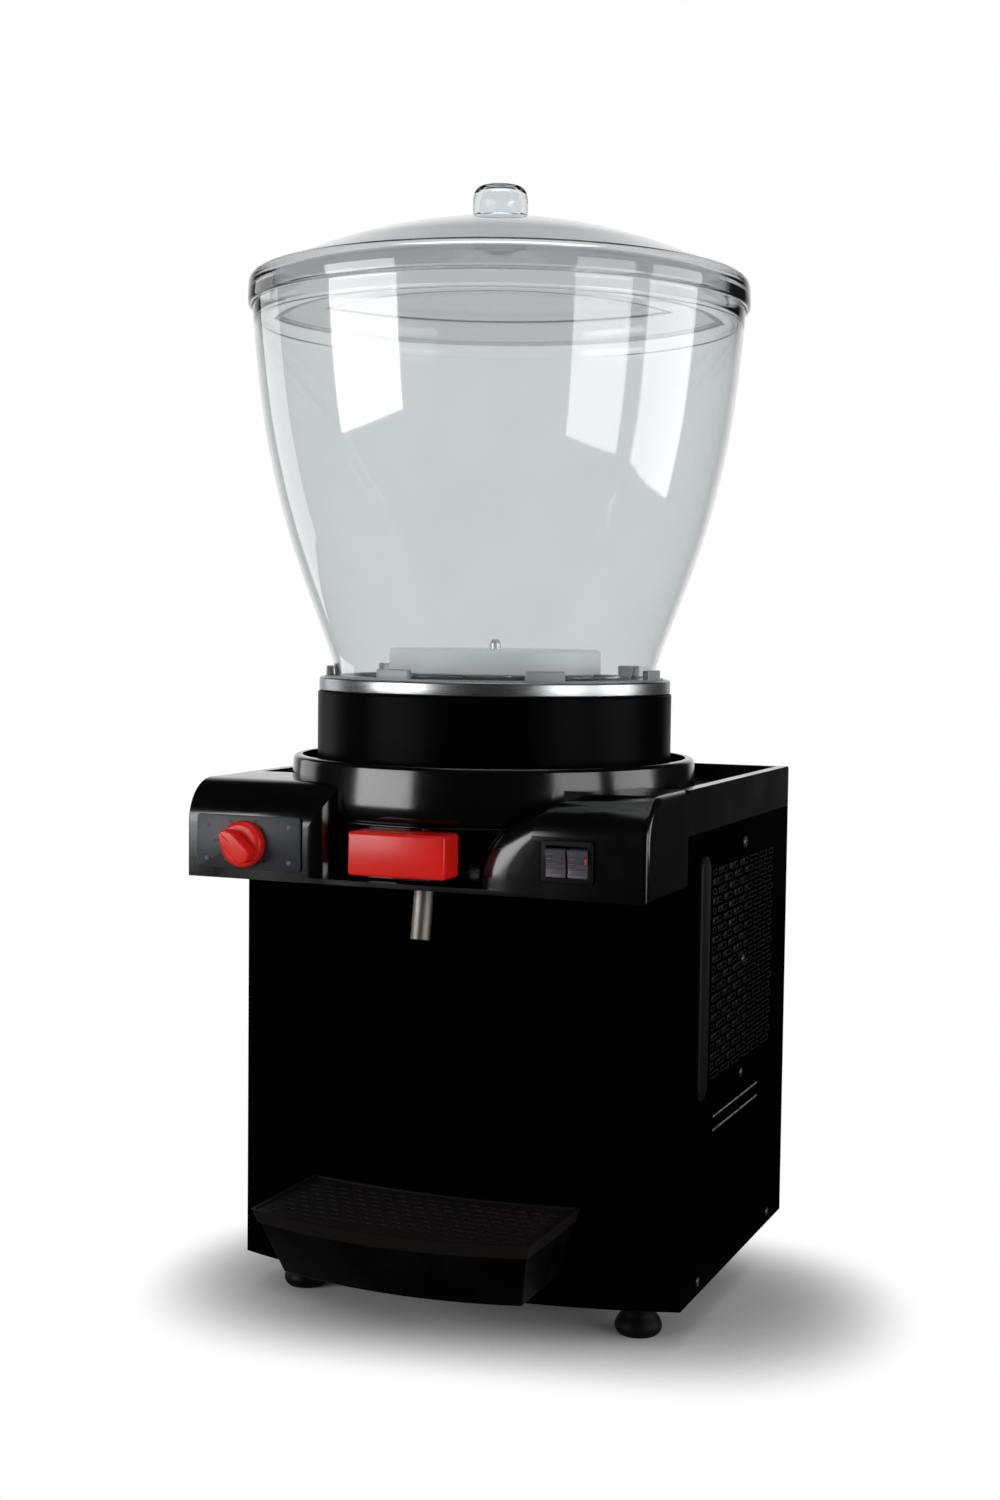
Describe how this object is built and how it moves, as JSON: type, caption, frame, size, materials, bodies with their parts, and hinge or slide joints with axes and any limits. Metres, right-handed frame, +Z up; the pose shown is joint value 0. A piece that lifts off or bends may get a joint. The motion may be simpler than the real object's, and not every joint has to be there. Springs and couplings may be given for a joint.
{
  "type": "ayran dispenser",
  "caption": "Countertop cold drink dispenser: black case with a bowed front, clear tapered bowl with a domed lid on a round collar, red push tap over a spout and drip tray.",
  "frame": {"origin": "middle of the bounding box, on the surface that the feet stand on", "axes": "+Z up, +Y from the front with the tap towards the back, +X to the right seen from the front"},
  "size_m": [0.3644, 0.412, 0.8197],
  "materials": {
    "gloss_black": "gloss moulded",
    "panel_black": "gloss black enamel",
    "satin_black": "satin",
    "dark_grey": "satin",
    "signal_red": "gloss",
    "stainless": "brushed",
    "silver_trim": "polished",
    "clear_bowl": "clear polycarbonate",
    "pale_grey": "satin",
    "white_plastic": "satin",
    "black_rubber": "matt",
    "copper": "drawn copper tube",
    "zinc": "galvanised",
    "fin_aluminium": "mill",
    "compressor_black": "semi-gloss enamel"
  },
  "bodies": {
    "root": {"base_pan": "zinc", "front_panel": "panel_black", "side_panel_left": "panel_black", "side_panel_right": "panel_black", "back_panel": "panel_black", "grip_strip_left": "satin_black", "grip_strip_right": "satin_black", "panel_screw_left": "zinc", "panel_screw_right": "zinc", "top_cover": "gloss_black", "dial_plate": "dark_grey", "selector_switch": "satin_black", "rocker_housing": "dark_grey", "paddle_pin": "stainless", "valve_body": "satin_black", "valve_cap": "satin_black", "plunger_spring": "stainless", "spout": "stainless", "outlet_pipe": "stainless", "collar": "gloss_black", "cooling_plate": "stainless", "cooling_coil": "copper", "base_ring": "silver_trim", "bowl_seal": "white_plastic", "wheel_post": "stainless", "mixer_motor": "compressor_black", "motor_plate": "zinc", "compressor_mat": "black_rubber", "compressor_plate": "zinc", "compressor": "compressor_black", "condenser": "fin_aluminium", "fan_shroud": "satin_black", "fan_motor": "zinc", "fan_bracket": "zinc", "control_box": "dark_grey", "discharge_line": "copper", "suction_line": "copper", "filter_drier": "copper", "power_inlet": "satin_black"},
    "selector": {"selector_knob": "signal_red", "selector_shaft": "stainless"},
    "rocker_key_left": {"rocker_left": "dark_grey"},
    "rocker_key_right": {"rocker_right": "dark_grey"},
    "paddle": {"tap_paddle": "signal_red"},
    "plunger": {"valve_plunger": "stainless", "plunger_seal": "black_rubber"},
    "tray": {"drip_tray": "gloss_black"},
    "grille": {"drip_grille": "satin_black"},
    "bowl_unit": {"bowl": "clear_bowl", "locking_ring": "pale_grey"},
    "lid_unit": {"lid": "clear_bowl", "lid_knob": "clear_bowl"},
    "wheel": {"stirring_wheel": "white_plastic", "wheel_magnet": "zinc"},
    "rotor": {"drive_rotor": "zinc"},
    "fan": {"fan_wheel": "satin_black"},
    "foot_fl": {"foot_front_left": "black_rubber"},
    "foot_fr": {"foot_front_right": "black_rubber"},
    "foot_bl": {"foot_back_left": "black_rubber"},
    "foot_br": {"foot_back_right": "black_rubber"}
  },
  "joints": [
    {"name": "selector_turn", "type": "hinge", "parent": "root", "child": "selector", "pos_m": [-0.1236, -0.17, 0.346], "axis": [0, 1, 0], "range_deg": [-75, 225]},
    {"name": "rocker_left_tilt", "type": "hinge", "parent": "root", "child": "rocker_key_left", "pos_m": [0.108, -0.1548, 0.346], "axis": [1, 0, 0], "range_deg": [0, 16]},
    {"name": "rocker_right_tilt", "type": "hinge", "parent": "root", "child": "rocker_key_right", "pos_m": [0.122, -0.1548, 0.346], "axis": [1, 0, 0], "range_deg": [0, 16]},
    {"name": "paddle_push", "type": "hinge", "parent": "root", "child": "paddle", "pos_m": [0, -0.16, 0.352], "axis": [1, 0, 0], "range_deg": [0, 9.5]},
    {"name": "plunger_slide", "type": "slide", "parent": "root", "child": "plunger", "axis": [0, 1, 0], "range_m": [0, 0.00285], "stiffness_N_per_m": 400, "springref_m": -0.004, "deforming": ["plunger_spring"]},
    {"name": "tray_slide", "type": "slide", "parent": "root", "child": "tray", "axis": [0, -1, 0], "range_m": [0, 0.08]},
    {"name": "grille_lift", "type": "slide", "parent": "tray", "child": "grille", "axis": [0, 0, 1], "range_m": [0, 0.04]},
    {"name": "bowl_lift", "type": "slide", "parent": "root", "child": "bowl_unit", "axis": [0, 0, 1], "range_m": [0, 0.06]},
    {"name": "lid_lift", "type": "slide", "parent": "bowl_unit", "child": "lid_unit", "axis": [0, 0, 1], "range_m": [0, 0.08]},
    {"name": "rotor_spin", "type": "hinge", "parent": "root", "child": "rotor", "pos_m": [0, -0.007, 0.42], "axis": [0, 0, 1], "continuous": true},
    {"name": "wheel_spin", "type": "hinge", "parent": "root", "child": "wheel", "pos_m": [0, -0.007, 0.47], "axis": [0, 0, 1], "continuous": true},
    {"name": "fan_spin", "type": "hinge", "parent": "root", "child": "fan", "pos_m": [0.114, 0.066, 0.234], "axis": [1, 0, 0], "continuous": true},
    {"name": "foot_fl_turn", "type": "hinge", "parent": "root", "child": "foot_fl", "pos_m": [-0.132, -0.0465, 0.01], "axis": [0, 0, 1], "continuous": true},
    {"name": "foot_fr_turn", "type": "hinge", "parent": "root", "child": "foot_fr", "pos_m": [0.132, -0.0465, 0.01], "axis": [0, 0, 1], "continuous": true},
    {"name": "foot_bl_turn", "type": "hinge", "parent": "root", "child": "foot_bl", "pos_m": [-0.132, 0.1795, 0.01], "axis": [0, 0, 1], "continuous": true},
    {"name": "foot_br_turn", "type": "hinge", "parent": "root", "child": "foot_br", "pos_m": [0.132, 0.1795, 0.01], "axis": [0, 0, 1], "continuous": true}
  ],
  "couplings": [
    {"joint": "paddle_push", "follows": "plunger_slide", "rad_per_m": 58.1},
    {"joint": "wheel_spin", "follows": "rotor_spin", "ratio": 1}
  ]
}
